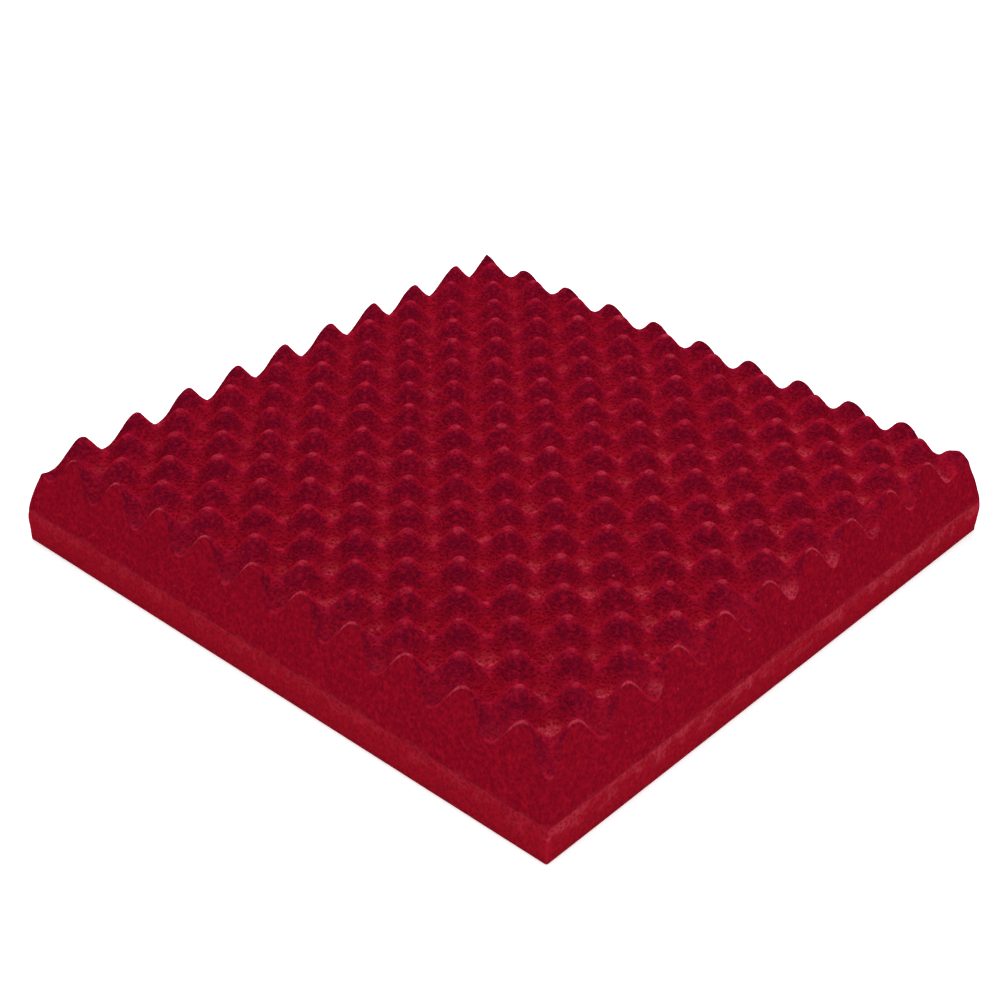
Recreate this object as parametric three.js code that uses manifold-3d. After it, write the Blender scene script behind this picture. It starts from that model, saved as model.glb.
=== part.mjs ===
// Square acoustic foam panel with a convoluted, egg-crate sound face.
//
// The panel lies on its flat back. X runs along its front right edge, Y along its front left
// edge, and Z points out of the sound face. The origin is the centre of the back. All lengths
// are in millimetres.
//
// The panel is a laminate of two layers of open-cell foam with a thin film of adhesive between
// them. The plain base layer gives the upright band round the foot. The face layer carries the
// relief: crests and valleys that follow each other like the fields of a chessboard. Above the
// shoulder, where the two layers meet, all four sides lean inwards up to the crests, and they
// cut straight through the relief, so that each edge ends in a wave.

import * as THREE from "three";
import { mergeVertices } from "three/addons/utils/BufferGeometryUtils.js";
import Module from "manifold-3d";

const wasm = await Module();
wasm.setup();

// Driving dimensions of the whole panel
const PANEL_SIZE_X = 500;
const PANEL_SIZE_Y = 500;
const PANEL_HEIGHT = 80;
const CORNER_RADIUS = 2;

// The sides: how far they lean in at the height of the crests, and the height of the soft
// bend at the shoulder
const SIDE_LEAN = 19;
const SHOULDER_BEND = 15;

// The layers
const BASE_THICKNESS = 25;
const FILM_THICKNESS = 0.4;
const FILM_SETBACK = 0.5;

// The relief: the distance from one crest to the next along a row, the height of a crest over
// a valley, and the distance from the foot's outline to the first row of valleys and crests
const CREST_PITCH_X = 50;
const CREST_PITCH_Y = 47.25;
const RELIEF_DEPTH = 26.5;
const FIRST_ROW_X = 14;
const FIRST_ROW_Y = 11.7;

// How far a cut runs past what it cuts
const CUT_OVERRUN = 3;

// Facets: steps from a valley to the next crest, in a corner's quarter circle, and in the half
// of the shoulder's bend that one layer holds
const STEPS_PER_SLOPE = 3;
const STEPS_PER_CORNER = 4;
const STEPS_PER_HALF_BEND = 2;

const FACE_BOTTOM = BASE_THICKNESS + FILM_THICKNESS;
const SHOULDER_HEIGHT = BASE_THICKNESS;

const faceFoam = new THREE.MeshStandardMaterial({ color: 0x8a0f1e, roughness: 0.95, metalness: 0 });
const baseFoam = new THREE.MeshStandardMaterial({ color: 0x931426, roughness: 0.97, metalness: 0 });
const adhesive = new THREE.MeshStandardMaterial({ color: 0xb6606c, roughness: 0.6, metalness: 0 });

// How far a side stands in from the foot's outline at a height: nothing on the upright band,
// a parabola through the bend, and a straight lean above it.
function sideInset(height) {
  const leanPerHeight = SIDE_LEAN / (PANEL_HEIGHT - SHOULDER_HEIGHT);
  const bendStart = SHOULDER_HEIGHT - SHOULDER_BEND / 2;
  const intoBend = height - bendStart;
  if (intoBend <= 0) {
    return 0;
  }
  if (intoBend >= SHOULDER_BEND) {
    return leanPerHeight * (height - SHOULDER_HEIGHT);
  }
  return (leanPerHeight * intoBend * intoBend) / (2 * SHOULDER_BEND);
}

// The heights at which a layer's sides need a ring of points: its two faces, and the steps of
// the bend that lie between them.
function ringHeights(bottom, top) {
  const heights = [bottom];
  for (let step = -STEPS_PER_HALF_BEND; step <= STEPS_PER_HALF_BEND; step++) {
    const height = SHOULDER_HEIGHT + (SHOULDER_BEND * step) / (2 * STEPS_PER_HALF_BEND);
    if (height > bottom + FILM_THICKNESS && height < top - FILM_THICKNESS) {
      heights.push(height);
    }
  }
  heights.push(top);
  return heights;
}

// The panel's outline, drawn in from the foot's outline by an inset: a rectangle with round
// corners, counter-clockwise seen from above.
function outline(inset) {
  const points = [];
  const cornerX = PANEL_SIZE_X / 2 - inset - CORNER_RADIUS;
  const cornerY = PANEL_SIZE_Y / 2 - inset - CORNER_RADIUS;
  const corners = [[cornerX, cornerY], [-cornerX, cornerY], [-cornerX, -cornerY], [cornerX, -cornerY]];
  corners.forEach(([x, y], quarter) => {
    for (let step = 0; step <= STEPS_PER_CORNER; step++) {
      const angle = (quarter + step / STEPS_PER_CORNER) * Math.PI / 2;
      points.push([x + CORNER_RADIUS * Math.cos(angle), y + CORNER_RADIUS * Math.sin(angle)]);
    }
  });
  return points;
}

// A closed geometry through a stack of rings with equal numbers of points, from the lowest ring
// to the highest, with a flat cap on each end.
function loft(rings) {
  const positions = [];
  const indices = [];
  const count = rings[0].length;
  rings.forEach((ring) => ring.forEach((point) => positions.push(...point)));
  for (let level = 0; level + 1 < rings.length; level++) {
    for (let i = 0; i < count; i++) {
      const a = level * count + i;
      const b = level * count + (i + 1) % count;
      indices.push(a, b, b + count);
      indices.push(a, b + count, a + count);
    }
  }
  const topStart = (rings.length - 1) * count;
  for (let i = 1; i + 1 < count; i++) {
    indices.push(0, i + 1, i);
    indices.push(topStart, topStart + i, topStart + i + 1);
  }
  return indexedGeometry(positions, indices);
}

function indexedGeometry(positions, indices) {
  const geometry = new THREE.BufferGeometry();
  geometry.setAttribute("position", new THREE.Float32BufferAttribute(positions, 3));
  geometry.setIndex(indices);
  return geometry;
}

// A layer of the panel between two heights, with its underside at z = 0: the panel's sides at
// those heights, drawn in by a setback.
function layerGeometry(bottom, top, setback) {
  const rings = ringHeights(bottom, top).map((height) =>
    outline(sideInset(height) + setback).map(([x, y]) => [x, y, height - bottom]));
  return loft(rings);
}

// The height of the relief over its valleys at a point of the panel. Along a row the surface
// follows a cosine from valley to crest, and neighbouring rows are half a pitch apart.
function reliefHeight(x, y) {
  const alongX = (x + PANEL_SIZE_X / 2 - FIRST_ROW_X) / CREST_PITCH_X;
  const alongY = (y + PANEL_SIZE_Y / 2 - FIRST_ROW_Y) / CREST_PITCH_Y;
  const wave = Math.cos(2 * Math.PI * alongX) * Math.cos(2 * Math.PI * alongY);
  return RELIEF_DEPTH * (1 - wave) / 2;
}

// Evenly spaced positions across the panel and past its outline, on the rows of crests and
// valleys and between them.
function gridPositions(size, firstRow, pitch) {
  const start = firstRow - size / 2;
  const step = pitch / (2 * STEPS_PER_SLOPE);
  const before = Math.ceil((firstRow + CUT_OVERRUN) / step);
  const after = Math.ceil((size - firstRow + CUT_OVERRUN) / step);
  const positions = [];
  for (let i = -before; i <= after; i++) {
    positions.push(start + i * step);
  }
  return positions;
}

// A block wider than the panel, whose top is the relief and whose flat underside lies below the
// underside of the face layer.
function reliefBlock() {
  const xs = gridPositions(PANEL_SIZE_X, FIRST_ROW_X, CREST_PITCH_X);
  const ys = gridPositions(PANEL_SIZE_Y, FIRST_ROW_Y, CREST_PITCH_Y);
  const valleyHeight = PANEL_HEIGHT - RELIEF_DEPTH - FACE_BOTTOM;
  const positions = [];
  const indices = [];
  ys.forEach((y) => xs.forEach((x) => positions.push(x, y, valleyHeight + reliefHeight(x, y))));
  ys.forEach((y) => xs.forEach((x) => positions.push(x, y, -CUT_OVERRUN)));
  const under = xs.length * ys.length;
  const at = (column, row) => row * xs.length + column;
  const wall = (a, b) => indices.push(a, a + under, b + under, a, b + under, b);
  for (let row = 0; row + 1 < ys.length; row++) {
    for (let column = 0; column + 1 < xs.length; column++) {
      const corners = [at(column, row), at(column + 1, row), at(column + 1, row + 1), at(column, row + 1)];
      indices.push(...facetPair(corners, positions));
      const [a, b, c, d] = corners.map((corner) => corner + under);
      indices.push(a, c, b, a, d, c);
    }
  }
  for (let column = 0; column + 1 < xs.length; column++) {
    wall(at(column, 0), at(column + 1, 0));
    wall(at(column + 1, ys.length - 1), at(column, ys.length - 1));
  }
  for (let row = 0; row + 1 < ys.length; row++) {
    wall(at(xs.length - 1, row), at(xs.length - 1, row + 1));
    wall(at(0, row + 1), at(0, row));
  }
  return indexedGeometry(positions, indices);
}

// Two triangles for one field of the relief's grid. The diagonal joins the pair of opposite
// corners that lie nearer to one height, so the facets look the same on all sides of a crest.
function facetPair([a, b, c, d], positions) {
  const heightOf = (index) => positions[3 * index + 2];
  const alongAC = Math.abs(heightOf(a) - heightOf(c));
  const alongBD = Math.abs(heightOf(b) - heightOf(d));
  return alongAC <= alongBD ? [a, b, c, a, c, d] : [a, b, d, b, c, d];
}

function solidOf(geometry) {
  const merged = mergeVertices(geometry);
  return new wasm.Manifold(new wasm.Mesh({
    numProp: 3,
    vertProperties: new Float32Array(merged.attributes.position.array),
    triVerts: new Uint32Array(merged.index.array),
  }));
}

function geometryOf(solid) {
  const mesh = solid.getMesh();
  return indexedGeometry(Array.from(mesh.vertProperties), Array.from(mesh.triVerts));
}

function piece(name, geometry, material, bottom) {
  geometry.computeVertexNormals();
  const mesh = new THREE.Mesh(geometry, material);
  mesh.name = name;
  mesh.position.z = bottom;
  return mesh;
}

// The plain slab at the back of the panel.
function foamBaseLayer() {
  return piece("foam_base_layer", layerGeometry(0, BASE_THICKNESS, 0), baseFoam, 0);
}

// The film of adhesive that bonds the two layers. It ends just inside the sides.
function laminatingFilm() {
  const geometry = layerGeometry(BASE_THICKNESS, FACE_BOTTOM, FILM_SETBACK);
  return piece("laminating_film", geometry, adhesive, BASE_THICKNESS);
}

// The sound face: the relief, cut out by the leaning sides.
function convolutedFaceLayer() {
  const sides = solidOf(layerGeometry(FACE_BOTTOM, PANEL_HEIGHT + CUT_OVERRUN, 0));
  const face = solidOf(reliefBlock()).intersect(sides);
  return piece("convoluted_face_layer", geometryOf(face), faceFoam, FACE_BOTTOM);
}

const group = new THREE.Group();
group.add(foamBaseLayer(), laminatingFilm(), convolutedFaceLayer());

export default group;
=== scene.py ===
# %% [markdown]
# # Acoustic foam panel
#
# This lesson dresses a square studio foam panel: an egg-crate sound face cut from soft crimson
# foam, on a plain base layer of the same foam, with a thin web of adhesive between the two.
# The construction model gives the panel's size and layers. Here each layer is made again as a
# fine mesh with the unevenness of cut foam, and gets a material built from shader nodes.

# %% Load the construction model
import math

import bpy
import numpy as np
from mathutils import Matrix, Vector


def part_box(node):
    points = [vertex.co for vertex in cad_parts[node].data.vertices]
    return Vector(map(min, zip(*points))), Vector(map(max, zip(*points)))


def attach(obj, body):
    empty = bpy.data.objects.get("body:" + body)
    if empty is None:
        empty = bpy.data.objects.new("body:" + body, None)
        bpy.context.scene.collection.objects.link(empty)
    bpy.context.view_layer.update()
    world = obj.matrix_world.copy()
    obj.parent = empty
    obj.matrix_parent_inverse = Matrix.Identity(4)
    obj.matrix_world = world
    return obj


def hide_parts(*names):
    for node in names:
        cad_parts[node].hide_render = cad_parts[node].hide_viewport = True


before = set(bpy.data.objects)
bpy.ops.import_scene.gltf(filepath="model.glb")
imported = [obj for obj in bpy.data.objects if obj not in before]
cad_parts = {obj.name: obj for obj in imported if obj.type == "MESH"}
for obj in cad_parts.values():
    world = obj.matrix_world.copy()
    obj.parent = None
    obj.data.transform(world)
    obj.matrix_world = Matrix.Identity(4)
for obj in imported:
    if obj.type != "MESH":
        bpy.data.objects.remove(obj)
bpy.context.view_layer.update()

# %% [markdown]
# ## Measures
#
# Everything is in metres, in the construction model's own frame: X along the panel's front
# right edge, Y along its front left edge, Z out of the sound face, and the origin in the centre
# of the back. The layers' heights are read from the model. The sizes that the model can't be
# asked for, such as the distance between crests, are written again here, once.

# %% Read the layers and name the sizes of the relief and the sides
MM = 0.001

base_low, base_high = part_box("foam_base_layer")
film_low, film_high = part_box("laminating_film")
face_low, face_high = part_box("convoluted_face_layer")

HALF_X = (base_high.x - base_low.x) / 2
HALF_Y = (base_high.y - base_low.y) / 2
PANEL_HEIGHT = face_high.z
FACE_BOTTOM = face_low.z
SHOULDER_HEIGHT = base_high.z
CORNER_RADIUS = 2 * MM

SIDE_LEAN = 19 * MM
SHOULDER_BEND = 15 * MM
LEAN_PER_HEIGHT = SIDE_LEAN / (PANEL_HEIGHT - SHOULDER_HEIGHT)

CREST_PITCH_X = 50 * MM
CREST_PITCH_Y = 47.25 * MM
RELIEF_DEPTH = 26.5 * MM
FIRST_ROW_X = 14 * MM
FIRST_ROW_Y = 11.7 * MM
print("layers", [round(v / MM, 1) for v in (base_high.z, film_high.z, face_high.z)], "mm high")

# %% [markdown]
# ## Camera
#
# The photograph looks down on one corner of the panel. A camera is placed by the point that it
# looks at, its direction and its distance, which is easier to read than a raw position. The
# picture was cropped a little to one side, so the lens is shifted by the same amount, and the
# horizon was tilted by about a degree.

# %% Place the camera at the photograph's viewpoint
PHOTO_SIZE = 1000
SENSOR_WIDTH = 36.0
FOCAL_LENGTH_PX = 1888.2
OPTICAL_AXIS_PX = 450.2
CAMERA_TARGET = Vector((-88.2 * MM, -21.05 * MM, PANEL_HEIGHT))
CAMERA_DISTANCE = 1.3075
CAMERA_TURN = 222.269
CAMERA_RISE = 32.610
CAMERA_ROLL = 0.945
CAMERA_CLIP_END = 50


def aimed(target, turn, rise, distance, roll=0.0):
    """World matrix that looks at a target, from a turn round Z and a rise above it in degrees."""
    turn, rise, roll = (math.radians(angle) for angle in (turn, rise, roll))
    back = Vector((math.cos(rise) * math.cos(turn), math.cos(rise) * math.sin(turn), math.sin(rise)))
    level_right = (-back).cross(Vector((0, 0, 1))).normalized()
    level_up = level_right.cross(-back)
    right = math.cos(roll) * level_right + math.sin(roll) * level_up
    up = math.cos(roll) * level_up - math.sin(roll) * level_right
    matrix = Matrix((right, up, back)).transposed().to_4x4()
    matrix.translation = target + distance * back
    return matrix


camera_data = bpy.data.cameras.new("photo_camera")
camera_data.sensor_width = SENSOR_WIDTH
camera_data.lens = SENSOR_WIDTH * FOCAL_LENGTH_PX / PHOTO_SIZE
camera_data.shift_x = (PHOTO_SIZE / 2 - OPTICAL_AXIS_PX) / PHOTO_SIZE
camera_data.clip_end = CAMERA_CLIP_END
camera = bpy.data.objects.new("photo_camera", camera_data)
camera.matrix_world = aimed(CAMERA_TARGET, CAMERA_TURN, CAMERA_RISE, CAMERA_DISTANCE, CAMERA_ROLL)
bpy.context.scene.collection.objects.link(camera)
bpy.context.scene.camera = camera
print("lens", round(camera_data.lens, 2), "mm, shift", round(camera_data.shift_x, 4))

# %% [markdown]
# ## Light
#
# A product shot on white: two wide soft lights above and behind the panel, a weak wide fill
# from the front, and an even pale world. The lights from behind leave the near side of each
# crest dark and draw the relief. One strong lamp would draw it too, but with hard shadows that
# the photograph doesn't have. Only the camera sees the world as pure white.

# %% Set up the soft lights
PICTURE_CENTRE = Vector((0, 0, PANEL_HEIGHT))


def soft_light(name, turn, rise, distance, size, power):
    """A square area light that points at the centre of the sound face. Power is in watts."""
    data = bpy.data.lights.new(name, "AREA")
    data.shape = "SQUARE"
    data.size = size
    data.energy = power
    light = bpy.data.objects.new(name, data)
    light.matrix_world = aimed(PICTURE_CENTRE, turn, rise, distance)
    bpy.context.scene.collection.objects.link(light)


soft_light("sky_panel", turn=52, rise=76, distance=2.2, size=2.0, power=36)
soft_light("back_panel", turn=44, rise=50, distance=2.2, size=2.0, power=36)
soft_light("front_fill", turn=231, rise=30, distance=2.6, size=2.4, power=22)

# %% [markdown]
# ## Shader nodes
#
# The world, the floor and every foam material are graphs of shader nodes. A few small helpers
# keep their code short: one adds a node and sets its inputs by name, one feeds a socket with a
# number or with another socket, and one shows the camera another shader than all other rays.

# %% Helpers for shader nodes
NODES_PER_COLUMN = 6
COLUMN_WIDTH = 240
ROW_HEIGHT = 260


def add_node(tree, kind, **values):
    """A new node, next in rows and columns in the editor, with some of its inputs set by name."""
    node = tree.nodes.new(kind)
    column, row = divmod(len(tree.nodes), NODES_PER_COLUMN)
    node.location = (COLUMN_WIDTH * column, -ROW_HEIGHT * row)
    for name, value in values.items():
        node.inputs[name.replace("_", " ")].default_value = value
    return node


def feed(tree, socket, value):
    """Links a socket to another one, or sets it to a number or a colour."""
    if isinstance(value, bpy.types.NodeSocket):
        tree.links.new(value, socket)
    else:
        socket.default_value = value


def for_camera_only(tree, seen, unseen):
    """A shader that the camera sees in one way and all other rays in another way."""
    ray = add_node(tree, "ShaderNodeLightPath")
    pick = add_node(tree, "ShaderNodeMixShader")
    tree.links.new(ray.outputs["Is Camera Ray"], pick.inputs[0])
    tree.links.new(unseen.outputs[0], pick.inputs[1])
    tree.links.new(seen.outputs[0], pick.inputs[2])
    return pick.outputs[0]


# %% Light the world
WHITE = (1, 1, 1, 1)
AMBIENT_LIGHT = 0.40

world = bpy.data.worlds.new("studio")
world.use_nodes = True
tree = world.node_tree
tree.nodes.clear()
ambient = add_node(tree, "ShaderNodeBackground", Color=WHITE, Strength=AMBIENT_LIGHT)
seen_white = add_node(tree, "ShaderNodeBackground", Color=WHITE, Strength=1.0)
world_output = add_node(tree, "ShaderNodeOutputWorld")
tree.links.new(for_camera_only(tree, seen_white, ambient), world_output.inputs["Surface"])
bpy.context.scene.world = world
bpy.context.scene.view_settings.view_transform = "Standard"
print("world:", len(tree.nodes), "nodes")

# %% [markdown]
# ## Floor
#
# The floor is a sheet of white paper. Lit by these soft lights alone it would come out grey, and
# stronger lights would bleach the foam. So it glows a little, for the camera only: it comes out
# white and still keeps a trace of the panel's soft shadow. The glow grows away from the panel,
# and the floor runs into the white background with no horizon.

# %% Lay the floor
FLOOR_HALF = 6.0
FLOOR_GAP = 0.2 * MM
PAPER_WHITE = (0.86, 0.86, 0.86, 1)
NEAR_GLOW = 0.46
FAR_GLOW = 0.70
GLOW_GROWS_FROM = 0.7
GLOW_GROWS_TO = 2.2


def floor_material():
    """White paper that looks a little brighter to the camera than it lights the panel."""
    material = bpy.data.materials.new("studio_floor")
    material.use_nodes = True
    tree = material.node_tree
    surface = tree.nodes["Principled BSDF"]
    surface.inputs["Base Color"].default_value = PAPER_WHITE
    surface.inputs["Roughness"].default_value = 0.9
    surface.inputs["Specular IOR Level"].default_value = 0.1
    place = add_node(tree, "ShaderNodeTexCoord")
    distance = add_node(tree, "ShaderNodeVectorMath")
    distance.operation = "LENGTH"
    tree.links.new(place.outputs["Object"], distance.inputs[0])
    growth = add_node(tree, "ShaderNodeMapRange", From_Min=GLOW_GROWS_FROM, From_Max=GLOW_GROWS_TO,
                      To_Min=NEAR_GLOW, To_Max=FAR_GLOW)
    tree.links.new(distance.outputs["Value"], growth.inputs["Value"])
    glow = add_node(tree, "ShaderNodeEmission", Color=WHITE)
    tree.links.new(growth.outputs["Result"], glow.inputs["Strength"])
    no_glow = add_node(tree, "ShaderNodeEmission", Strength=0.0)
    both = add_node(tree, "ShaderNodeAddShader")
    tree.links.new(surface.outputs[0], both.inputs[0])
    tree.links.new(for_camera_only(tree, glow, no_glow), both.inputs[1])
    tree.links.new(both.outputs[0], tree.nodes["Material Output"].inputs["Surface"])
    return material


floor_corners = [(-1, -1), (1, -1), (1, 1), (-1, 1)]
floor_points = [(FLOOR_HALF * x, FLOOR_HALF * y, -FLOOR_GAP) for x, y in floor_corners]
floor_mesh = bpy.data.meshes.new("studio_floor")
floor_mesh.from_pydata(floor_points, [], [(0, 1, 2, 3)])
floor_mesh.materials.append(floor_material())
floor = bpy.data.objects.new("studio_floor", floor_mesh)
bpy.context.scene.collection.objects.link(floor)
print("floor:", round(2 * FLOOR_HALF), "metres wide")

# %% [markdown]
# ## Unevenness
#
# Cut foam is never quite true. The crests wander a little off their lattice, the cut sides
# ripple, and the open cells leave the surface rough. One helper gives all of that: smooth
# random patches of a chosen size. It keeps a small box of random numbers and blends between
# them, so the same seed always gives the same foam.

# %% Smooth random patches
NOISE_CELLS = 64


def patches(points, size, seed):
    """Smooth noise from -1 to 1 at an array of points (N, 3), with patches of about one size."""
    lattice = np.random.default_rng(seed).uniform(-1, 1, (NOISE_CELLS,) * 3)
    scaled = np.asarray(points) / size + NOISE_CELLS
    low = np.floor(scaled).astype(int)
    part = scaled - low
    part = part * part * (3 - 2 * part)
    total = np.zeros(len(scaled))
    for corner in np.ndindex(2, 2, 2):
        weight = np.prod([part[:, k] if corner[k] else 1 - part[:, k] for k in range(3)], axis=0)
        i, j, k = ((low + corner) % NOISE_CELLS).T
        total += weight * lattice[i, j, k]
    return total


print("noise box:", NOISE_CELLS, "cells a side")

# %% [markdown]
# ## The shape of the sides and of the relief
#
# Two formulas hold the whole form. The first says how far a side stands in at each height:
# upright on the base layer, a soft bend at the shoulder, then a lean up to the crests. The
# second is the egg-crate relief: one cosine along X times one along Y, which puts crests and
# valleys on the fields of a chessboard.
#
# Soft foam doesn't keep that form everywhere. The two outer corners to the left and right sag a
# little. The one where X is high and Y is low was also knocked, which pushed its last crests
# back and wore its tip round.

# %% Side and relief formulas
CREST_WANDER = 0.9 * MM
CREST_WANDER_PATCH = 70 * MM
CREST_SWELL = 0.8 * MM
CREST_SWELL_PATCH = 38 * MM
CORNER_SAG = 4.5 * MM
SAG_POWER = 5
KNOCK_PUSH = 5 * MM
KNOCK_PUSH_REACH = 66 * MM
KNOCK_WEAR = 9 * MM
KNOCK_WEAR_REACH = 8 * MM


def side_inset(height):
    """How far the side stands in from the foot's outline at each of an array of heights."""
    into_bend = height - (SHOULDER_HEIGHT - SHOULDER_BEND / 2)
    bent = LEAN_PER_HEIGHT * into_bend**2 / (2 * SHOULDER_BEND)
    leaning = LEAN_PER_HEIGHT * (height - SHOULDER_HEIGHT)
    return np.where(into_bend <= 0, 0, np.where(into_bend >= SHOULDER_BEND, leaning, bent))


def knocked_corner_distance(x, y):
    """How far a point lies from the knocked corner of the sound face, along X plus along Y."""
    along_x = np.clip(HALF_X - SIDE_LEAN - x, 0, None)
    along_y = np.clip(HALF_Y - SIDE_LEAN + y, 0, None)
    return along_x + along_y


def relief(x, y):
    """Height of the sound face over the back, with crests a little off their lattice."""
    flat = np.stack([x, y, np.zeros_like(x)], -1)
    to_knock = knocked_corner_distance(x, y)
    wear = KNOCK_WEAR * np.exp(-(to_knock / KNOCK_WEAR_REACH) ** 2)
    x = x + CREST_WANDER * patches(flat, CREST_WANDER_PATCH, seed=11)
    y = y + CREST_WANDER * patches(flat, CREST_WANDER_PATCH, seed=12)
    y = y - KNOCK_PUSH * np.exp(-to_knock / KNOCK_PUSH_REACH)
    along_x = (x + HALF_X - FIRST_ROW_X) / CREST_PITCH_X
    along_y = (y + HALF_Y - FIRST_ROW_Y) / CREST_PITCH_Y
    wave = np.cos(2 * np.pi * along_x) * np.cos(2 * np.pi * along_y)
    swell = CREST_SWELL * patches(flat, CREST_SWELL_PATCH, seed=13)
    sag = CORNER_SAG * np.clip(-x * y / (HALF_X * HALF_Y), 0, 1) ** SAG_POWER
    return PANEL_HEIGHT - RELIEF_DEPTH * (1 + wave) / 2 + swell - sag - wear


shoulder_and_crest = side_inset(np.array([SHOULDER_HEIGHT, PANEL_HEIGHT]))
print("side stands in by", np.round(shoulder_and_crest / MM, 1), "mm at the shoulder and crests")

# %% [markdown]
# ## From a square grid to the panel's outline
#
# Both foam layers are made from one square grid of points, pressed into the panel's outline
# with its round corners. A bevelled box would have that outline too, but only a few long faces,
# and the relief needs many small, even ones. The map leaves the middle of the grid straight and
# turns the small square at each corner into a quarter circle, so every face keeps four sides.
# The grid's rim then runs down or up the side, row by row.

# %% Press a square grid into the rounded outline
def pressed(s, t, inset, radius=CORNER_RADIUS):
    """Points of the rounded outline's inside for grid values from -1 to 1, drawn in by an inset."""
    x = s * (HALF_X - inset)
    y = t * (HALF_Y - inset)
    over_x = np.clip(np.abs(x) - (HALF_X - inset - radius), 0, None) / radius
    over_y = np.clip(np.abs(y) - (HALF_Y - inset - radius), 0, None) / radius
    x = x - np.sign(x) * radius * over_x * (1 - np.sqrt(1 - over_y**2 / 2))
    y = y - np.sign(y) * radius * over_y * (1 - np.sqrt(1 - over_x**2 / 2))
    return x, y


CLEAR_OF_CLOSE_ROWS = 1.5


def grid_values(half, spacing, close_rows):
    """Values from -1 to 1, evenly spaced, with some extra rows close to both ends."""
    count = int(round(2 * half / spacing))
    values = np.linspace(-1, 1, count + 1)
    inner = values[np.abs(values) < 1 - CLEAR_OF_CLOSE_ROWS * max(close_rows) / half]
    ends = 1 - np.array(close_rows) / half
    return np.unique(np.concatenate([-ends, [-1.0], inner, [1.0], ends]))


def panel_grid(spacing, close_rows):
    """Grid values s along X and t along Y of all points, and the numbers of rows and columns."""
    s_values = grid_values(HALF_X, spacing, close_rows)
    t_values = grid_values(HALF_Y, spacing, close_rows)
    t, s = [g.ravel() for g in np.meshgrid(t_values, s_values, indexing="ij")]
    return s, t, len(t_values), len(s_values)


def edge_distance(s, t):
    """Distance of grid points from the nearest side."""
    return np.minimum((1 - np.abs(s)) * HALF_X, (1 - np.abs(t)) * HALF_Y)


def rounded_off(to_edge, radius):
    """How far an edge's rounding has dropped at each distance from the edge."""
    into_round = np.clip(radius - to_edge, 0, None)
    return radius - np.sqrt(radius**2 - into_round**2)


foot_corner = pressed(1.0, 1.0, 0.0)
print("foot's corner at", [round(v / MM, 1) for v in foot_corner], "mm")

# %% [markdown]
# A mesh is a list of points and a list of faces, each of which names its points by number. The
# helpers below number the faces of the grid, and then those of the side that hangs from its rim
# in closed loops, one under the other. The layers could also be modelled by hand, but then no
# point would know where it lies in the relief, and the materials need that.

# %% Join the points to faces
def rim_of(rows, columns):
    """Indices of a grid's outer points, once round, counter-clockwise seen from above."""
    index = np.arange(rows * columns).reshape(rows, columns)
    return np.concatenate([index[0, :-1], index[:-1, -1], index[-1, :0:-1], index[:0:-1, 0]])


def grid_faces(rows, columns):
    """Four-sided faces between the points of a grid."""
    index = np.arange(rows * columns).reshape(rows, columns)
    corners = [index[:-1, :-1], index[:-1, 1:], index[1:, 1:], index[1:, :-1]]
    return np.stack([c.ravel() for c in corners], -1)


def side_loops(rim, first_index, steps):
    """The rim's indices, and those of each row of side points that follow it in the mesh."""
    once_round = np.arange(len(rim))
    return [rim] + [first_index + step * len(rim) + once_round for step in range(steps)]


def wall_faces(loops):
    """Faces between loops of indices, each the next one down."""
    faces = []
    for upper, lower in zip(loops[:-1], loops[1:]):
        faces.append(np.stack([upper, lower, np.roll(lower, -1), np.roll(upper, -1)], -1))
    return np.concatenate(faces)


def carried_down(values, rim, steps):
    """One value per point of a layer's face, with the rim's values carried to every side row."""
    return np.concatenate([values, np.tile(values[rim], steps)])


print("rim of a grid of 3 x 3 points:", rim_of(3, 3).tolist())

# %% Make a piece of a mesh
def mesh_piece(name, points, faces):
    """A smooth-shaded mesh object from points and faces, attached to the root body."""
    mesh = bpy.data.meshes.new(name)
    mesh.from_pydata(np.asarray(points).tolist(), [], [list(map(int, f)) for f in faces])
    mesh.shade_smooth()
    mesh.update()
    piece = bpy.data.objects.new(name, mesh)
    bpy.context.scene.collection.objects.link(piece)
    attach(piece, "root")
    print(name, "has", len(mesh.polygons), "faces")
    return piece


def set_values(piece, name, values):
    """Stores one number per point on a mesh, for the material to read."""
    attribute = piece.data.attributes.new(name, "FLOAT", "POINT")
    attribute.data.foreach_set("value", np.asarray(values, dtype=np.float32))


# %% [markdown]
# ## The sides of both layers
#
# Both layers were cut by the same saw, so one function gives the side at every height. The saw
# left a ripple of a few tenths of a millimetre. The left and right corners of the soft block
# stand out a little, most below the crests, and the base widens by about a millimetre from the
# shoulder to the foot. The upright corners are worn round on the base and still sharp above the
# shoulder. A modifier could ripple each layer by itself, but then the two wouldn't meet.

# %% The rippled side
SIDE_RIPPLE = 0.28 * MM
SIDE_RIPPLE_PATCH = 9 * MM
CORNER_SPREAD = 3.0 * MM
SPREAD_POWER = 8
SPREAD_WAVE_HEIGHT = 1.6 * PANEL_HEIGHT
FOOT_FLARE = 1.15 * MM
SHARP_CORNER = 0.7 * MM


def corner_radius(height):
    """The corner's radius at a height: worn round at the foot, still sharp above the shoulder."""
    above = np.clip((height - SHOULDER_HEIGHT) / SHOULDER_BEND, 0, 1)
    return CORNER_RADIUS + (SHARP_CORNER - CORNER_RADIUS) * above


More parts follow.
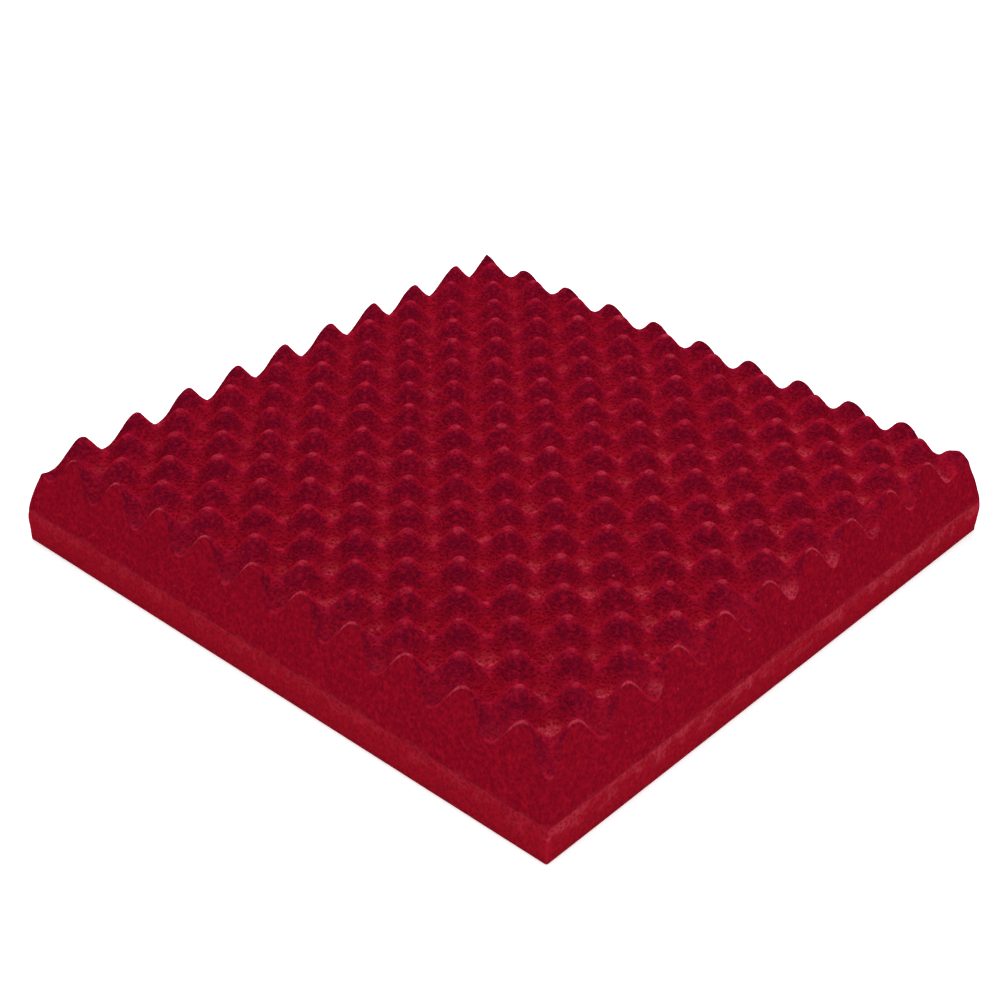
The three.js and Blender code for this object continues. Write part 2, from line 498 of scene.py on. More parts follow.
def rippled_inset(s, t, height):
    """The inset of a side with the saw's ripple, two spread corners and a slightly wide foot."""
    inset = side_inset(height)
    x, y = pressed(s, t, inset)
    ripple = SIDE_RIPPLE * patches(np.stack([x, y, height], -1), SIDE_RIPPLE_PATCH, seed=21)
    at_corner = np.clip(-s * t, 0, None) ** SPREAD_POWER
    spread = CORNER_SPREAD * at_corner * np.sin(np.pi * height / SPREAD_WAVE_HEIGHT)
    flare = FOOT_FLARE * np.clip(1 - height / SHOULDER_HEIGHT, 0, 1)
    return inset + ripple - spread - flare


def side_points(s, t, start_height, end_height, steps):
    """Points of a side, row by row, from the rim's heights to one end height."""
    rows = []
    for step in range(1, steps + 1):
        height = start_height + (end_height - start_height) * step / steps
        x, y = pressed(s, t, rippled_inset(s, t, height), corner_radius(height))
        rows.append(np.stack([x, y, height], -1))
    return np.concatenate(rows)


for height in (0.0, PANEL_HEIGHT):
    print("corner radius at", round(height / MM), "mm:", round(corner_radius(height) / MM, 1), "mm")

# %% [markdown]
# ## The convoluted face layer
#
# The sound face could be sculpted or displaced from a picture, but its form is a formula, so it
# is built straight from it. The relief is evaluated on a fine grid. Along the rim the relief
# meets the leaning sides, and since a lower point of the side stands further out, the rim is
# found by repeating two steps until they agree: the height at this place, then the place at
# this height. The cut edge is rounded by about a millimetre, as soft foam leaves it.
#
# The mesh also stores numbers for the material at each point, such as its distance from the cut
# edge, its level in the relief, and how steeply the surface falls towards the back corner.

# %% The relief inside the leaning sides
FACE_GRID = 1.25 * MM
FACE_CLOSE_ROWS = [0.35 * MM, 0.9 * MM, 1.7 * MM, 2.8 * MM, 4.0 * MM]
RIM_PULL_REACH = 6 * MM
SETTLE_STEPS = 24
EDGE_ROUND = 1.1 * MM
CELL_ROUGHNESS = 0.16 * MM
CELL_PATCH = 1.9 * MM
MIDDLE_HEIGHT = PANEL_HEIGHT - RELIEF_DEPTH / 2


def face_top(s, t):
    """Points of the sound face inside the leaning sides, and each one's level in the relief."""
    to_edge = edge_distance(s, t)
    near_rim = np.exp(-to_edge / RIM_PULL_REACH)
    height = np.full(len(s), MIDDLE_HEIGHT)
    middle_inset = side_inset(np.array([MIDDLE_HEIGHT]))[0]
    for _ in range(SETTLE_STEPS):
        inset = middle_inset + near_rim * (rippled_inset(s, t, height) - middle_inset)
        x, y = pressed(s, t, inset, SHARP_CORNER)
        height = 0.5 * (height + relief(x, y))
    rough = CELL_ROUGHNESS * patches(np.stack([x, y, height], -1), CELL_PATCH, seed=31)
    level = 1 - (PANEL_HEIGHT - height) / RELIEF_DEPTH
    return np.stack([x, y, height + rough - rounded_off(to_edge, EDGE_ROUND)], -1), level


# %% Build the convoluted face layer
SIDE_ROW = 1.4 * MM
SLOPE_SPAN = 1.0 * MM


def slope_to_back(x, y):
    """How steeply the relief falls towards the back corner, where X and Y are both high."""
    before = relief(x - SLOPE_SPAN, y - SLOPE_SPAN)
    behind = relief(x + SLOPE_SPAN, y + SLOPE_SPAN)
    return (before - behind) / (2 * SLOPE_SPAN)


def convoluted_face():
    """The face layer as one closed mesh, with the values that its material reads."""
    s, t, rows, columns = panel_grid(FACE_GRID, FACE_CLOSE_ROWS)
    top, level = face_top(s, t)
    rim = rim_of(rows, columns)
    steps = int((PANEL_HEIGHT - FACE_BOTTOM) / SIDE_ROW)
    side = side_points(s[rim], t[rim], top[rim, 2], FACE_BOTTOM, steps)
    loops = side_loops(rim, len(top), steps)
    faces = [*grid_faces(rows, columns), *wall_faces(loops), loops[-1][::-1]]
    piece = mesh_piece("convoluted_foam", np.concatenate([top, side]), faces)

    below_edge = np.tile(top[rim, 2], steps) - side[:, 2]
    over_shoulder = side[:, 2] - FACE_BOTTOM
    to_end = (1 - np.abs(s)) * HALF_X
    back_slope = slope_to_back(top[:, 0], top[:, 1])
    set_values(piece, "edge_distance", np.concatenate([edge_distance(s, t), below_edge]))
    set_values(piece, "end_distance", carried_down(to_end, rim, steps))
    far_above = np.full(len(top), PANEL_HEIGHT)
    set_values(piece, "shoulder_distance", np.concatenate([far_above, over_shoulder]))
    set_values(piece, "relief_level", carried_down(level, rim, steps))
    set_values(piece, "back_slope", carried_down(back_slope, rim, steps))
    set_values(piece, "cut_side", np.concatenate([np.zeros(len(top)), np.ones(len(side))]))
    return piece


face_layer = convoluted_face()

# %% [markdown]
# ## The foam base layer
#
# The base is a plain slab, so it is built from the same grid at a coarser spacing: a flat back
# with a faint waviness from the slicing blade, a foot that is rounded by about half a
# millimetre, and an upright side. It ends at the shoulder, where the face layer is bonded on.

# %% Build the foam base layer
BASE_GRID = 2.5 * MM
BASE_CLOSE_ROWS = [0.15 * MM, 0.4 * MM, 0.9 * MM, 2.0 * MM]
BASE_ROWS = 20
FOOT_ROUND = 0.6 * MM
BACK_WAVE = 0.15 * MM
BACK_WAVE_PATCH = 30 * MM


def base_layer():
    """The base layer as one closed mesh, with the values that its material reads."""
    s, t, rows, columns = panel_grid(BASE_GRID, BASE_CLOSE_ROWS)
    lift = rounded_off(edge_distance(s, t), FOOT_ROUND)
    x, y = pressed(s, t, -FOOT_FLARE)
    wave = BACK_WAVE * (1 + patches(np.stack([x, y, lift], -1), BACK_WAVE_PATCH, seed=41)) / 2
    back = np.stack([x, y, lift + wave], -1)
    rim = rim_of(rows, columns)
    side = side_points(s[rim], t[rim], back[rim, 2], SHOULDER_HEIGHT, BASE_ROWS)
    loops = side_loops(rim, len(back), BASE_ROWS)
    faces = [*grid_faces(rows, columns)[:, ::-1], *wall_faces(loops)[:, ::-1], loops[-1]]
    points = np.concatenate([back, side])
    piece = mesh_piece("base_foam", points, faces)

    to_corner = np.maximum((1 - np.abs(s)) * HALF_X, (1 - np.abs(t)) * HALF_Y)
    on_side = np.tile(to_corner[rim], BASE_ROWS)
    set_values(piece, "shoulder_distance", SHOULDER_HEIGHT - points[:, 2])
    set_values(piece, "corner_distance", np.concatenate([np.full(len(back), HALF_X), on_side]))
    return piece


base_piece = base_layer()

# %% [markdown]
# ## The laminating web
#
# Between the layers lies a web of set adhesive, thinner than half a millimetre. Only its edge
# shows, as a faint broken line along the shoulder, because the saw tore it: here it stands out
# of the cut by a hair, and there it has drawn back between the foams. So its rim follows the
# side with random patches added.

# %% Build the laminating web
WEB_FRAY = 0.15 * MM
WEB_FRAY_PATCH = 5 * MM


def laminating_web():
    """The web as a thin closed sheet whose rim follows the cut side."""
    s, t, rows, columns = panel_grid(FACE_GRID, FACE_CLOSE_ROWS)
    rim = rim_of(rows, columns)
    s, t = s[rim], t[rim]
    levels = []
    for height in (film_high.z, film_low.z):
        inset = rippled_inset(s, t, np.full(len(s), height))
        x, y = pressed(s, t, inset)
        fray = WEB_FRAY * patches(np.stack([x, y, 0 * x], -1), WEB_FRAY_PATCH, seed=51)
        x, y = pressed(s, t, inset - fray)
        levels.append(np.stack([x, y, np.full(len(s), height)], -1))
    upper = np.arange(len(s))
    lower = upper + len(s)
    faces = [upper, lower[::-1], *wall_faces([upper, lower])]
    return mesh_piece("adhesive_web", np.concatenate(levels), faces)


web_piece = laminating_web()

# %% [markdown]
# ## Masks
#
# A mask is a number, mostly from 0 to 1, that says how strongly a mark or a tone shows at a
# point. Most masks here are fades: a smooth step along a distance, a height or a noise. A fade
# is given by its two ends, each a value and the mask's strength there. Masks are multiplied
# where a mark needs all of them, and the strongest one counts where any of them will do.

# %% Helpers for masks
def combined(tree, operation, *values):
    """Joins sockets and numbers, one after the other, with one kind of math node."""
    result = values[0]
    for value in values[1:]:
        node = add_node(tree, "ShaderNodeMath")
        node.operation = operation
        feed(tree, node.inputs[0], result)
        feed(tree, node.inputs[1], value)
        result = node.outputs[0]
    return result


def multiplied(tree, *values):
    """The product of sockets and numbers."""
    return combined(tree, "MULTIPLY", *values)


def strongest(tree, *values):
    """The highest of some sockets and numbers."""
    return combined(tree, "MAXIMUM", *values)


def fade(tree, value, ends):
    """Runs smoothly between two ends (value, result), and holds the result outside them."""
    (low, at_low), (high, at_high) = ends
    node = add_node(tree, "ShaderNodeMapRange", From_Min=low, To_Min=at_low, From_Max=high, To_Max=at_high)
    node.interpolation_type = "SMOOTHSTEP"
    feed(tree, node.inputs["Value"], value)
    return node.outputs["Result"]


# %% [markdown]
# ## Open cells
#
# Polyurethane foam is a mesh of tiny cells, each a millimetre or two wide. Seen from a step away
# they are a fine grain of dark holes and lit struts. Modelling them would take millions of
# faces, so the grain is a node group, which every foam material places with its own cell size:
# two Voronoi textures of different sizes give the holes, and a noise texture gives the struts
# that happen to catch the light. A height for the bump comes with them.

# %% Helpers for node groups and textures
def new_group(name, inputs, outputs):
    """A shader node group with named sockets, and its input and output nodes."""
    group = bpy.data.node_groups.new(name, "ShaderNodeTree")
    for socket_name, kind, value in inputs:
        socket = group.interface.new_socket(socket_name, in_out="INPUT", socket_type=kind)
        if value is not None:
            socket.default_value = value
    for socket_name in outputs:
        group.interface.new_socket(socket_name, in_out="OUTPUT", socket_type="NodeSocketFloat")
    return group, add_node(group, "NodeGroupInput"), add_node(group, "NodeGroupOutput")


def add_texture(tree, kind, vector, scale, **values):
    """A texture node that reads a vector socket, with a socket or a number for its scale."""
    node = add_node(tree, kind, **values)
    feed(tree, node.inputs["Vector"], vector)
    feed(tree, node.inputs["Scale"], scale)
    return node


# %% The open-cell node group
LARGE_PORE_SCALE = 0.45
LARGE_PORE_STRENGTH = 0.6
STRUT_SCALE = 0.7
SMALL_PORE_FADE = ((0.18, 1.0), (0.62, 0.0))
LARGE_PORE_FADE = ((0.10, 1.0), (0.50, 0.0))
STRUT_FADE = ((0.40, 0.0), (0.78, 1.0))


def open_cell_group():
    """Masks of the pores and of the lit struts, and a height for the bump."""
    group, given, result = new_group(
        "open cells",
        [("Vector", "NodeSocketVector", None), ("Cells per metre", "NodeSocketFloat", 900.0)],
        ["Pores", "Struts", "Height"],
    )
    vector = given.outputs["Vector"]
    scale = given.outputs["Cells per metre"]
    large_scale = multiplied(group, scale, LARGE_PORE_SCALE)
    small = add_texture(group, "ShaderNodeTexVoronoi", vector, scale)
    large = add_texture(group, "ShaderNodeTexVoronoi", vector, large_scale)
    small_pores = fade(group, small.outputs["Distance"], SMALL_PORE_FADE)
    large_pores = fade(group, large.outputs["Distance"], LARGE_PORE_FADE)
    pores = strongest(group, small_pores, multiplied(group, large_pores, LARGE_PORE_STRENGTH))
    height = combined(group, "SUBTRACT", 1.0, pores)
    strut_scale = multiplied(group, scale, STRUT_SCALE)
    glints = add_texture(group, "ShaderNodeTexNoise", vector, strut_scale, Detail=1.0, Roughness=0.6)
    feed(group, result.inputs["Pores"], pores)
    feed(group, result.inputs["Struts"], fade(group, glints.outputs["Fac"], STRUT_FADE))
    feed(group, result.inputs["Height"], height)
    return group


OPEN_CELLS = open_cell_group()
print("node group:", OPEN_CELLS.name, "with", len(OPEN_CELLS.nodes), "nodes")

# %% [markdown]
# ## Scuffs and crumbs
#
# Handling leaves foam paler where it was rubbed, and single torn crumbs shine out of a cut side.
# Both could be painted as a picture, but noise stays sharp at any distance. So a second group
# gives a mask for each. The scuffs are patchy on the scale of centimetres and grainy on the
# scale of a cell. The crumbs are Voronoi cells, and only the few with the reddest random colour
# get one.

# %% The scuff node group
CLOUD_FADE = ((0.38, 0.0), (0.66, 1.0))
GRAIN_FADE = ((0.36, 0.0), (0.66, 1.0))
CRUMB_FADE = ((0.05, 1.0), (0.14, 0.0))
CRUMB_CHANCE = ((0.92, 0.0), (0.95, 1.0))


def scuff_group():
    """Masks of broad clouds, of grainy scuffs within them, and of a few crumbs."""
    group, given, result = new_group(
        "scuffs",
        [
            ("Vector", "NodeSocketVector", None),
            ("Patches per metre", "NodeSocketFloat", 45.0),
            ("Grains per metre", "NodeSocketFloat", 420.0),
            ("Crumbs per metre", "NodeSocketFloat", 130.0),
        ],
        ["Clouds", "Mask", "Crumbs"],
    )
    vector, patch_scale, grain_scale, crumb_scale = given.outputs[:4]
    broad = add_texture(group, "ShaderNodeTexNoise", vector, patch_scale, Detail=3.0, Roughness=0.6)
    fine = add_texture(group, "ShaderNodeTexNoise", vector, grain_scale, Detail=2.0, Roughness=0.7)
    clouds = fade(group, broad.outputs["Fac"], CLOUD_FADE)
    grains = fade(group, fine.outputs["Fac"], GRAIN_FADE)
    dots = add_texture(group, "ShaderNodeTexVoronoi", vector, crumb_scale)
    dot = fade(group, dots.outputs["Distance"], CRUMB_FADE)
    chance = add_node(group, "ShaderNodeSeparateColor")
    feed(group, chance.inputs["Color"], dots.outputs["Color"])
    chosen = fade(group, chance.outputs["Red"], CRUMB_CHANCE)
    feed(group, result.inputs["Clouds"], clouds)
    feed(group, result.inputs["Mask"], multiplied(group, clouds, grains))
    feed(group, result.inputs["Crumbs"], multiplied(group, dot, chosen))
    return group


SCUFFS = scuff_group()
print("node group:", SCUFFS.name, "with", len(SCUFFS.nodes), "nodes")

# %% [markdown]
# ## Foam materials
#
# The foam is dyed through, so its colour changes little: crimson, darker in the open cells and
# paler where it is rubbed. The sound face also has some highlights and shade painted on. It has
# no gloss, only a trace of sheen from its struts. Both foams share a few steps: a grain of pores
# and struts over a colour, the mask of a chalky strip that the saw and the adhesive left along
# the shoulder, and a matt surface with the cells as bump.

# %% Helpers for colours and stored values
def colour_mix(tree, factor, first, second):
    """Mixes two colours, each a socket or a value, by a factor socket. Returns the colour."""
    node = add_node(tree, "ShaderNodeMix")
    node.data_type = "RGBA"
    feed(tree, node.inputs["Factor"], factor)
    for name, value in (("A", first), ("B", second)):
        socket = next(i for i in node.inputs if i.name == name and i.type == "RGBA")
        feed(tree, socket, value)
    return next(o for o in node.outputs if o.type == "RGBA")


def tone_ramp(tree, value, stops):
    """Colours along a value, blended straight from one stop to the next."""
    node = add_node(tree, "ShaderNodeValToRGB")
    elements = node.color_ramp.elements
    while len(elements) < len(stops):
        elements.new(1.0)
    for element, (position, colour) in zip(elements, stops):
        element.position = position
        element.color = colour
    feed(tree, node.inputs["Fac"], value)
    return node.outputs["Color"]


def stored(tree, name):
    """The number that a mesh stores at each point under a name."""
    node = add_node(tree, "ShaderNodeAttribute")
    node.attribute_name = name
    return node.outputs["Fac"]


def parts_of(tree, vector):
    """The X, Y and Z of a vector socket."""
    node = add_node(tree, "ShaderNodeSeparateXYZ")
    feed(tree, node.inputs["Vector"], vector)
    return node.outputs


def new_material(name):
    """A material, its node tree and its two sockets of position and normal in the piece."""
    material = bpy.data.materials.new(name)
    material.use_nodes = True
    tree = material.node_tree
    coordinates = add_node(tree, "ShaderNodeTexCoord").outputs
    return material, tree, coordinates["Object"], coordinates["Normal"]


def placed(tree, group, vector, **values):
    """A node group placed in a material, with some of its inputs set by name. Returns its outputs."""
    node = add_node(tree, "ShaderNodeGroup")
    node.node_tree = group
    feed(tree, node.inputs["Vector"], vector)
    for name, value in values.items():
        node.inputs[name.replace("_", " ")].default_value = value
    return node.outputs


# %% Steps that both foams share
PORE_CRIMSON = (0.085, 0.0018, 0.0120, 1)
STRUT_CRIMSON = (0.500, 0.0080, 0.0210, 1)
PALE_CRIMSON = (0.560, 0.0550, 0.0870, 1)
SHEEN_TINT = (1.0, 0.01, 0.01, 1)
CELL_BUMP = 0.45 * MM
STRIP_RAGGEDNESS = 0.35
STRIP_CORE = 0.2
STRIP_CLOUD_FADE = ((0.0, 0.5), (1.0, 1.0))


def grained(tree, cells, colour, pore_depth, strut_light):
    """Darkens a colour in the pores and lights it on the struts."""
    in_pores = multiplied(tree, cells["Pores"], pore_depth)
    on_struts = multiplied(tree, cells["Struts"], strut_light)
    dark = colour_mix(tree, in_pores, colour, PORE_CRIMSON)
    return colour_mix(tree, on_struts, dark, STRUT_CRIMSON)


def shoulder_strip(tree, scuffs, reach, strength):
    """Mask of the chalky strip along the shoulder, with a ragged edge at about its reach."""
    raggedness = STRIP_RAGGEDNESS * reach
    ragged = fade(tree, scuffs["Clouds"], ((0.0, raggedness), (1.0, -raggedness)))
    distance = combined(tree, "ADD", stored(tree, "shoulder_distance"), ragged)
    near = fade(tree, distance, ((STRIP_CORE * reach, strength), (reach, 0.0)))
    return multiplied(tree, near, fade(tree, scuffs["Clouds"], STRIP_CLOUD_FADE))


def foam_surface(tree, cells, colour):
    """Joins colour and bump to a matt foam shader with a trace of sheen. Returns the shader."""
    surface = tree.nodes["Principled BSDF"]
    surface.inputs["Roughness"].default_value = 1.0
    surface.inputs["Specular IOR Level"].default_value = 0.0
    surface.inputs["Sheen Weight"].default_value = 0.02
    surface.inputs["Sheen Roughness"].default_value = 0.45
    surface.inputs["Sheen Tint"].default_value = SHEEN_TINT
    bump = add_node(tree, "ShaderNodeBump", Strength=1.0, Distance=CELL_BUMP)
    feed(tree, bump.inputs["Height"], cells["Height"])
    feed(tree, surface.inputs["Base Color"], colour)
    feed(tree, surface.inputs["Normal"], bump.outputs["Normal"])
    return surface


# %% [markdown]
# ### The sound face
#
# The sound face's colour follows the height in the relief: the flanks of the crests are dark,
# the valleys lighter and the tips a little paler again, so it needs no painted picture. Beside
# the cut edges, most along the two ends in X, the foam is darker: that is painted shade. The foam
# is also a little darker towards high Y.

# %% Tones of the sound face
RELIEF_TONES = [
    (0.00, (0.232, 0.0030, 0.0155, 1)),
    (0.12, (0.312, 0.0040, 0.0172, 1)),
    (0.25, (0.312, 0.0044, 0.0188, 1)),
    (0.40, (0.253, 0.0042, 0.0186, 1)),
    (0.55, (0.203, 0.0031, 0.0166, 1)),
    (0.67, (0.153, 0.0026, 0.0162, 1)),
    (0.85, (0.147, 0.0026, 0.0162, 1)),
    (0.95, (0.180, 0.0029, 0.0162, 1)),
]
SIDE_CRIMSON = (0.256, 0.0031, 0.0142, 1)
# Painted shade beside the cut edges, most along the two ends in X.
EDGE_SHADE_CRIMSON = (0.125, 0.0025, 0.0150, 1)
EDGE_SHADE_FADE = ((2 * MM, 0.36), (16 * MM, 0.0))
END_SHADE_FADE = ((2 * MM, 0.64), (20 * MM, 0.0))
HIGH_Y_DARKENING_FADE = ((-0.9 * HALF_Y, 0.0), (0.9 * HALF_Y, 0.13))
SIDE_TONE_FADE = ((0.0, 0.0), (2.5 * MM, 1.0))


def face_tones(tree, place):
    """Colour before grain and marks: by height in the relief, on the sides, and painted shade at edges."""
    colour = tone_ramp(tree, stored(tree, "relief_level"), RELIEF_TONES)
    to_edge = stored(tree, "edge_distance")
    # Painted shade: darker beside the cut edges, most along the two ends in X.
    edge_shade = fade(tree, to_edge, EDGE_SHADE_FADE)
    end_shade = fade(tree, stored(tree, "end_distance"), END_SHADE_FADE)
    colour = colour_mix(tree, strongest(tree, edge_shade, end_shade), colour, EDGE_SHADE_CRIMSON)
    # Darker towards high Y.
    darker_to_high_y = fade(tree, parts_of(tree, place)["Y"], HIGH_Y_DARKENING_FADE)
    colour = colour_mix(tree, darker_to_high_y, colour, PORE_CRIMSON)
    side_share = multiplied(tree, fade(tree, to_edge, SIDE_TONE_FADE), stored(tree, "cut_side"))
    return colour_mix(tree, side_share, colour, SIDE_CRIMSON)


# %% [markdown]
# The face was rubbed by handling and in the rollers, through which the sheet ran along Y. So
# pale marks lie in clouds and streaks on the floor of the valleys. The same clouds carry a
# painted highlight on the saddles between crests, where the surface faces up. Both grow fewer
# towards high Y, and they stop short of the two ends in X. The tips of the crests get a painted
# highlight too. Along the cut edge, the flanks that fall towards the back get a painted
# highlight: a red rim and a thin pale arc. All this could be painted on by hand. Masks from
# height, slope and distance put the marks in the same places without a picture, on a panel of
# any size.

# %% Rubbed marks and painted highlights of the sound face
# Painted highlight on the saddles, where the surface faces up.
SADDLE_HIGHLIGHT_FADE = ((0.86, 0.0), (0.98, 0.13))
VALLEY_FADE = ((0.05, 0.58), (0.32, 0.0))
BOTTOM_FADE = ((0.03, 0.62), (0.20, 0.0))
# Painted highlight on the tips of the crests.
TIP_HIGHLIGHT_FADE = ((0.93, 0.0), (0.99, 0.26))
INLAND_FADE = ((4 * MM, 0.18), (24 * MM, 1.0))
HIGH_Y_MARKS_FADE = ((-0.9 * HALF_Y, 1.45), (0.9 * HALF_Y, 0.55))
BESIDE_CUT_FADE = ((2 * MM, 0.62), (16 * MM, 1.0))
CLOUD_MARKS = ((0.15, 0.03), (0.90, 0.60))
STREAK_MARKS = ((0.10, 0.0), (0.75, 1.15))
SPECK_MARKS = ((0.40, 0.0), (0.75, 1.0))
TIP_HIGHLIGHT_CLOUDS = ((0.1, 0.40), (0.9, 1.0))
# Painted highlights along the cut edge: a pale arc and a red rim.
RIM_FADE = ((0.3 * MM, 0.64), (1.3 * MM, 0.0))
ARC_SLOPE_FADE = ((0.1, 0.0), (1.35, 1.0))
ARC_LEVEL_FADE = ((0.38, 0.0), (0.80, 1.0))
RIM_HIGHLIGHT_SLOPE_FADE = ((-0.3, 0.0), (0.6, 0.55))


def marks_and_highlights_inside(tree, scuffs, place, normal):
    """Mask of pale marks in the valleys, and of painted highlights on the saddles and crest tips."""
    level = stored(tree, "relief_level")
    inland = fade(tree, stored(tree, "end_distance"), INLAND_FADE)
    fewer_to_high_y = fade(tree, parts_of(tree, place)["Y"], HIGH_Y_MARKS_FADE)
    beside_cut = fade(tree, stored(tree, "edge_distance"), BESIDE_CUT_FADE)
    clouds = fade(tree, scuffs["Clouds"], CLOUD_MARKS)
    streaks = fade(tree, scuffs["Mask"], STREAK_MARKS)
    cloudy = strongest(tree, clouds, streaks)
    # Painted highlight where the surface faces up, on the saddles.
    saddle_highlights = fade(tree, parts_of(tree, normal)["Z"], SADDLE_HIGHLIGHT_FADE)
    valleys_and_saddles = strongest(tree, saddle_highlights, fade(tree, level, VALLEY_FADE))
    valley_marks_and_saddle_highlights = multiplied(tree, inland, fewer_to_high_y, cloudy, beside_cut, valleys_and_saddles)
    bottoms = fade(tree, level, BOTTOM_FADE)
    specks = multiplied(tree, inland, bottoms, fade(tree, scuffs["Mask"], SPECK_MARKS))
    # Painted highlight on the tips of the crests.
    tip_highlights = multiplied(tree, fade(tree, level, TIP_HIGHLIGHT_FADE), fade(tree, scuffs["Clouds"], TIP_HIGHLIGHT_CLOUDS))
    on_top = combined(tree, "SUBTRACT", 1.0, stored(tree, "cut_side"))
    return multiplied(tree, on_top, strongest(tree, valley_marks_and_saddle_highlights, specks, tip_highlights))


def highlights_on_rim(tree):
    """Painted highlights along the cut edge, on flanks that fall to the back: a pale arc and a red rim."""
    rim = fade(tree, stored(tree, "edge_distance"), RIM_FADE)
    slope = stored(tree, "back_slope")
    high = fade(tree, stored(tree, "relief_level"), ARC_LEVEL_FADE)
    arc_highlights = multiplied(tree, rim, fade(tree, slope, ARC_SLOPE_FADE), high)
    rim_highlight = multiplied(tree, rim, fade(tree, slope, RIM_HIGHLIGHT_SLOPE_FADE))
    return arc_highlights, rim_highlight


# %% [markdown]
# The material joins the tones, the grain, the marks and the painted highlights, and adds a few
# crumbs and a narrow chalky strip at the shoulder. Struts on high ground catch a little more
# light from the side, so the sheen grows with the height in the relief.

# %% The face foam's material
# Colour of the painted highlight along the cut rim.
RIM_HIGHLIGHT_CRIMSON = (0.500, 0.0100, 0.0240, 1)
FACE_PORE_DEPTH = 0.33
FACE_STRUT_LIGHT = 0.38
FACE_CRUMBS = 0.5
FACE_STRIP_REACH = 2.5 * MM
FACE_STRIP_STRENGTH = 0.11
MARKS_IN_PORES = ((0.0, 1.0), (1.0, 0.45))
RIDGE_SHEEN_FADE = ((0.45, 0.0), (0.78, 0.36))


def face_foam_material():
    """Crimson foam: tones by height, cell grain, rubbed marks, painted highlights, lit ridges."""
    material, tree, place, normal = new_material("crimson_face_foam")
    cells = placed(tree, OPEN_CELLS, place, Cells_per_metre=430.0)
    scuffs = placed(tree, SCUFFS, place, Patches_per_metre=40.0)
    arc_highlights, rim_highlight = highlights_on_rim(tree)
    colour = grained(tree, cells, face_tones(tree, place), FACE_PORE_DEPTH, FACE_STRUT_LIGHT)
    # Painted highlight: a bright red rim on flanks that fall to the back.
    colour = colour_mix(tree, rim_highlight, colour, RIM_HIGHLIGHT_CRIMSON)

    # Pale marks, with painted highlights on the saddles, the tips and the rim arcs.
    marks_and_highlights = strongest(tree, marks_and_highlights_inside(tree, scuffs, place, normal), arc_highlights)
    rubbed_and_highlit = multiplied(tree, fade(tree, cells["Pores"], MARKS_IN_PORES), marks_and_highlights)
    crumbs = multiplied(tree, scuffs["Crumbs"], FACE_CRUMBS)
    strip = shoulder_strip(tree, scuffs, FACE_STRIP_REACH, FACE_STRIP_STRENGTH)
    colour = colour_mix(tree, strongest(tree, rubbed_and_highlit, crumbs, strip), colour, PALE_CRIMSON)
    surface = foam_surface(tree, cells, colour)

    on_top = combined(tree, "SUBTRACT", 1.0, stored(tree, "cut_side"))
    ridges = fade(tree, stored(tree, "relief_level"), RIDGE_SHEEN_FADE)
    feed(tree, surface.inputs["Sheen Weight"], multiplied(tree, on_top, ridges))
    return material


face_layer.data.materials.append(face_foam_material())
print("face foam:", len(face_layer.data.materials[0].node_tree.nodes), "nodes")

# %% [markdown]
# ### The base
#
# The base foam gets the same grain, a little coarser and paler. Its own marks are the worn
# upright corners and the chalky strip under the shoulder. The strip is speckled, because the
# dust lies on the struts and not in the cells, and it is stronger on the two sides in Y.

# %% The base foam's material
BAND_CRIMSON = (0.335, 0.0060, 0.0180, 1)
BASE_PORE_DEPTH = 0.30
BASE_STRUT_LIGHT = 0.26
BASE_CRUMBS = 0.4
BASE_STRIP_REACH = 12 * MM
BASE_STRIP_STRENGTH = 0.18
WORN_CORNER_FADE = ((0.0, 0.06), (1.5 * MM, 0.0))
DUSTY_SIDE_FADE = ((0.1, 0.5), (0.9, 1.5))
DUST_IN_PORES = ((0.0, 1.5), (0.9, 0.4))


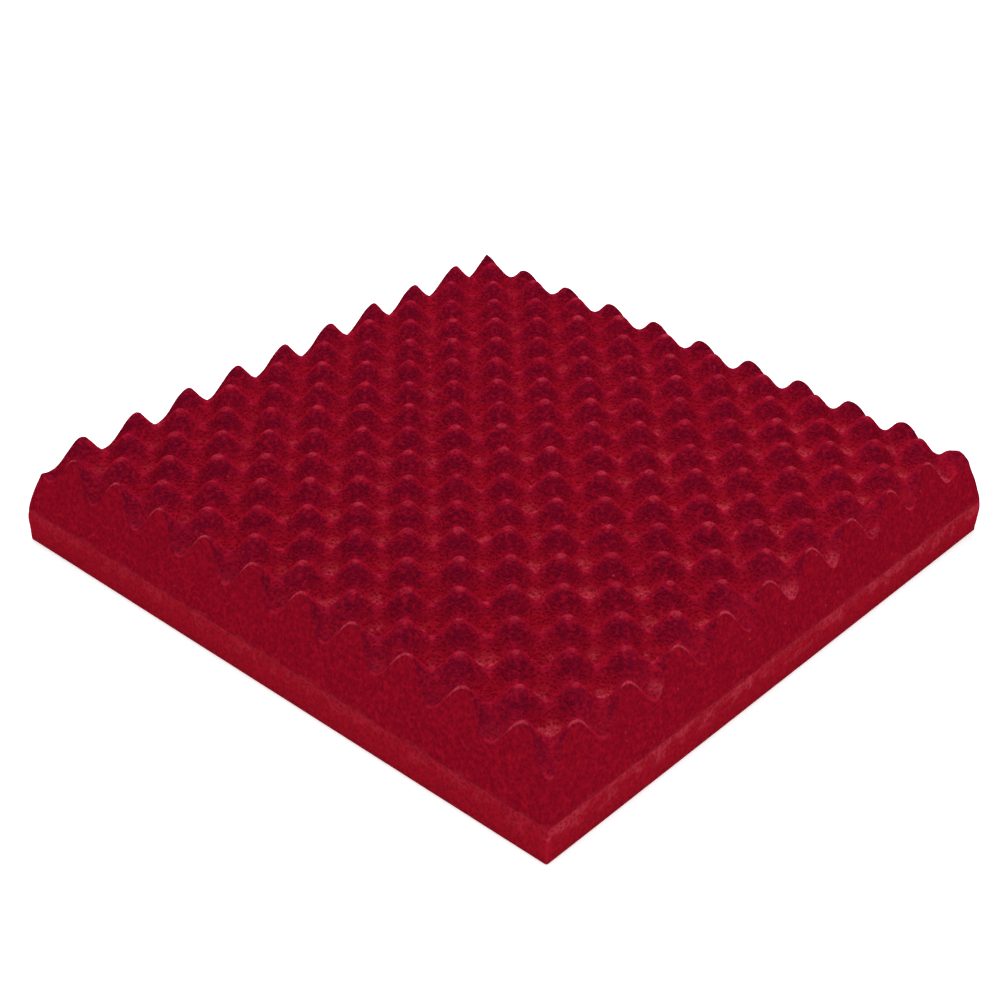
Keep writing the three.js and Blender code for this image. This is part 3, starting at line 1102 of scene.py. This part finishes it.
def base_foam_material():
    """Crimson foam with a grain of cells, a chalky strip, crumbs and worn corners."""
    material, tree, place, normal = new_material("crimson_base_foam")
    cells = placed(tree, OPEN_CELLS, place, Cells_per_metre=400.0)
    scuffs = placed(tree, SCUFFS, place, Patches_per_metre=60.0)
    colour = grained(tree, cells, BAND_CRIMSON, BASE_PORE_DEPTH, BASE_STRUT_LIGHT)
    corners = fade(tree, stored(tree, "corner_distance"), WORN_CORNER_FADE)
    crumbs = multiplied(tree, scuffs["Crumbs"], BASE_CRUMBS)
    faces_y = combined(tree, "ABSOLUTE", parts_of(tree, normal)["Y"], 0.0)
    dusty_side = fade(tree, faces_y, DUSTY_SIDE_FADE)
    between_cells = fade(tree, cells["Pores"], DUST_IN_PORES)
    strip = shoulder_strip(tree, scuffs, BASE_STRIP_REACH, BASE_STRIP_STRENGTH)
    dust = multiplied(tree, dusty_side, between_cells, strip)
    colour = colour_mix(tree, strongest(tree, corners, crumbs, dust), colour, PALE_CRIMSON)
    foam_surface(tree, cells, colour)
    return material


base_piece.data.materials.append(base_foam_material())
print("base foam:", len(base_piece.data.materials[0].node_tree.nodes), "nodes")

# %% [markdown]
# ### The adhesive
#
# The set adhesive has soaked up the foam's dye, so its edge is as red as the foam, with pale
# flecks of bare glue. It is the only finish here that is a little smooth.

# %% The adhesive's material
BARE_GLUE = 0.35


def adhesive_material():
    """Set adhesive, as red as the foam, with pale flecks."""
    material, tree, place, _ = new_material("set_adhesive")
    scuffs = placed(tree, SCUFFS, place, Patches_per_metre=90.0)
    flecks = multiplied(tree, scuffs["Mask"], BARE_GLUE)
    colour = colour_mix(tree, flecks, BAND_CRIMSON, PALE_CRIMSON)
    surface = tree.nodes["Principled BSDF"]
    surface.inputs["Roughness"].default_value = 0.7
    surface.inputs["Specular IOR Level"].default_value = 0.1
    feed(tree, surface.inputs["Base Color"], colour)
    return material


web_piece.data.materials.append(adhesive_material())
print("materials:", [p.data.materials[0].name for p in (face_layer, base_piece, web_piece)])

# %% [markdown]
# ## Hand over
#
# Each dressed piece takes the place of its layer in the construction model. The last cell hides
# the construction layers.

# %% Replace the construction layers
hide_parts("convoluted_face_layer")
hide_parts("foam_base_layer")
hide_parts("laminating_film")
